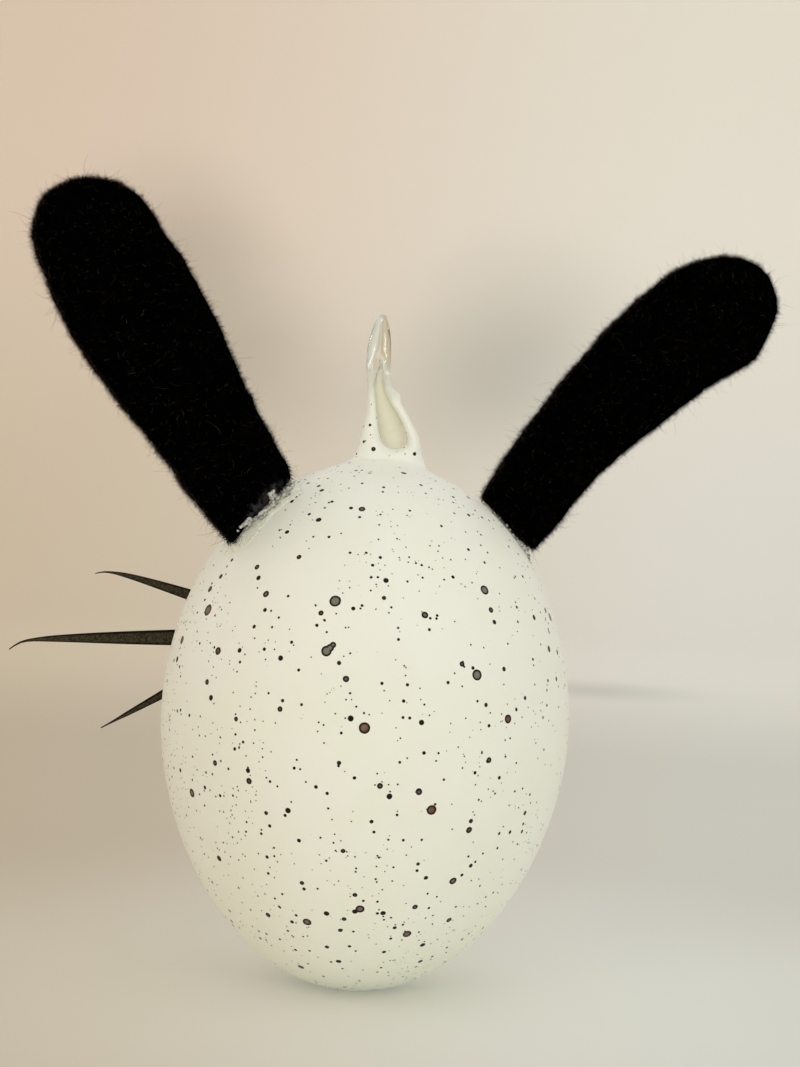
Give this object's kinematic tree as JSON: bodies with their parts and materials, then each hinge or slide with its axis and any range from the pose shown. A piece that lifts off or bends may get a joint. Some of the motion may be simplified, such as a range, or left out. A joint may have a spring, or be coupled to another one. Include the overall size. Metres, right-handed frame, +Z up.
{
  "type": "easter egg ornament",
  "caption": "Blown glass egg with a speckled satin coat and a hanging loop, dressed as a rabbit with felt ears and card whiskers.",
  "frame": {"origin": "centre of the flat spot on which the egg rests", "axes": "+Z up along the egg's axis to the loop, +X to the right as seen from the rabbit's back, -Y towards the viewer of the back"},
  "size_m": [0.1178, 0.0791, 0.1171],
  "materials": {
    "coated_glass": "satin white coat with glossy dark drops, clear at the top of the loop",
    "black_felt": "thick felt with a fuzzy surface",
    "hot_glue": "milky and lumpy",
    "black_card": "matte card"
  },
  "bodies": {
    "root": {"egg": "coated_glass", "left_ear": "black_felt", "right_ear": "black_felt", "left_ear_glue": "hot_glue", "right_ear_glue": "hot_glue", "middle_whisker": "black_card", "upper_whisker": "black_card", "lower_whisker": "black_card", "whisker_glue": "hot_glue"}
  },
  "joints": []
}
